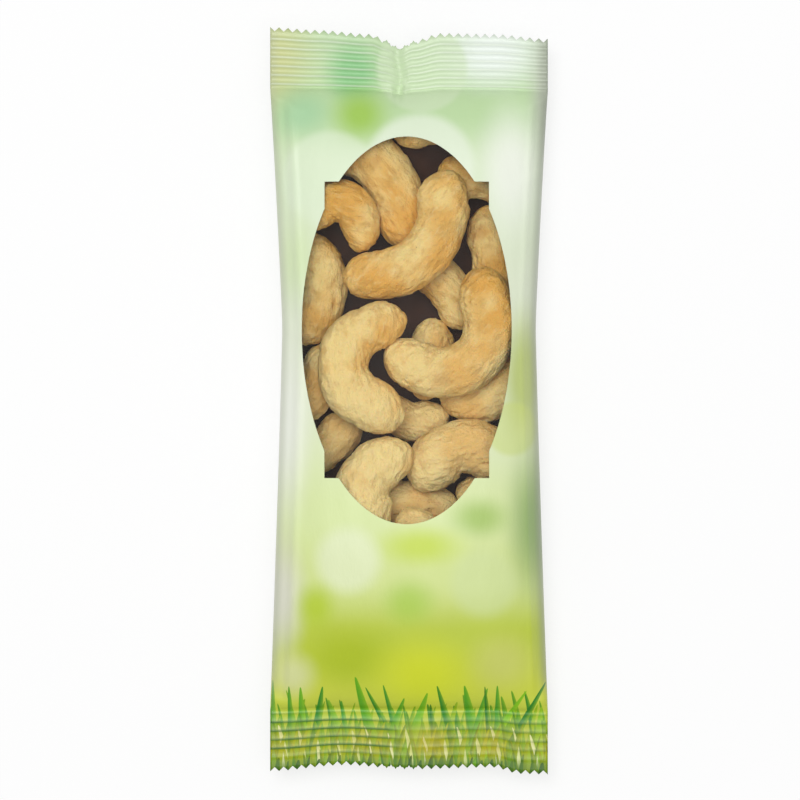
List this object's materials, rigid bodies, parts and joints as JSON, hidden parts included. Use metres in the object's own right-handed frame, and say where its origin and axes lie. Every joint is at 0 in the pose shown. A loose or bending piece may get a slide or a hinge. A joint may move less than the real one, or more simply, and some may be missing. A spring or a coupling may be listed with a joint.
{
  "type": "flow-wrapped snack bag of cashews",
  "caption": "Narrow printed flow-wrap bag on its back, crimped and tooth-cut at both ends, back weld folded flat, clear front window over loose cashew kernels.",
  "frame": {"origin": "under the middle of the bag, on the surface it lies on", "axes": "+X to the right across the printed front, +Y along the bag to the end with the crease, +Z out of the front"},
  "size_m": [0.06, 0.1616, 0.022],
  "materials": {
    "film_print": "satin",
    "film_clear": "polished",
    "kernel": "satin"
  },
  "bodies": {
    "root": {"printed_film": "film_print", "clear_window": "film_clear", "cashew_01": "kernel", "cashew_02": "kernel", "cashew_03": "kernel", "cashew_04": "kernel", "cashew_05": "kernel", "cashew_06": "kernel", "cashew_07": "kernel", "cashew_08": "kernel", "cashew_09": "kernel", "cashew_10": "kernel", "cashew_11": "kernel", "cashew_12": "kernel", "cashew_13": "kernel", "cashew_14": "kernel", "cashew_15": "kernel", "cashew_16": "kernel", "cashew_17": "kernel", "cashew_18": "kernel", "cashew_19": "kernel", "cashew_20": "kernel", "cashew_21": "kernel", "cashew_22": "kernel", "cashew_23": "kernel", "cashew_24": "kernel", "cashew_25": "kernel"}
  },
  "joints": []
}
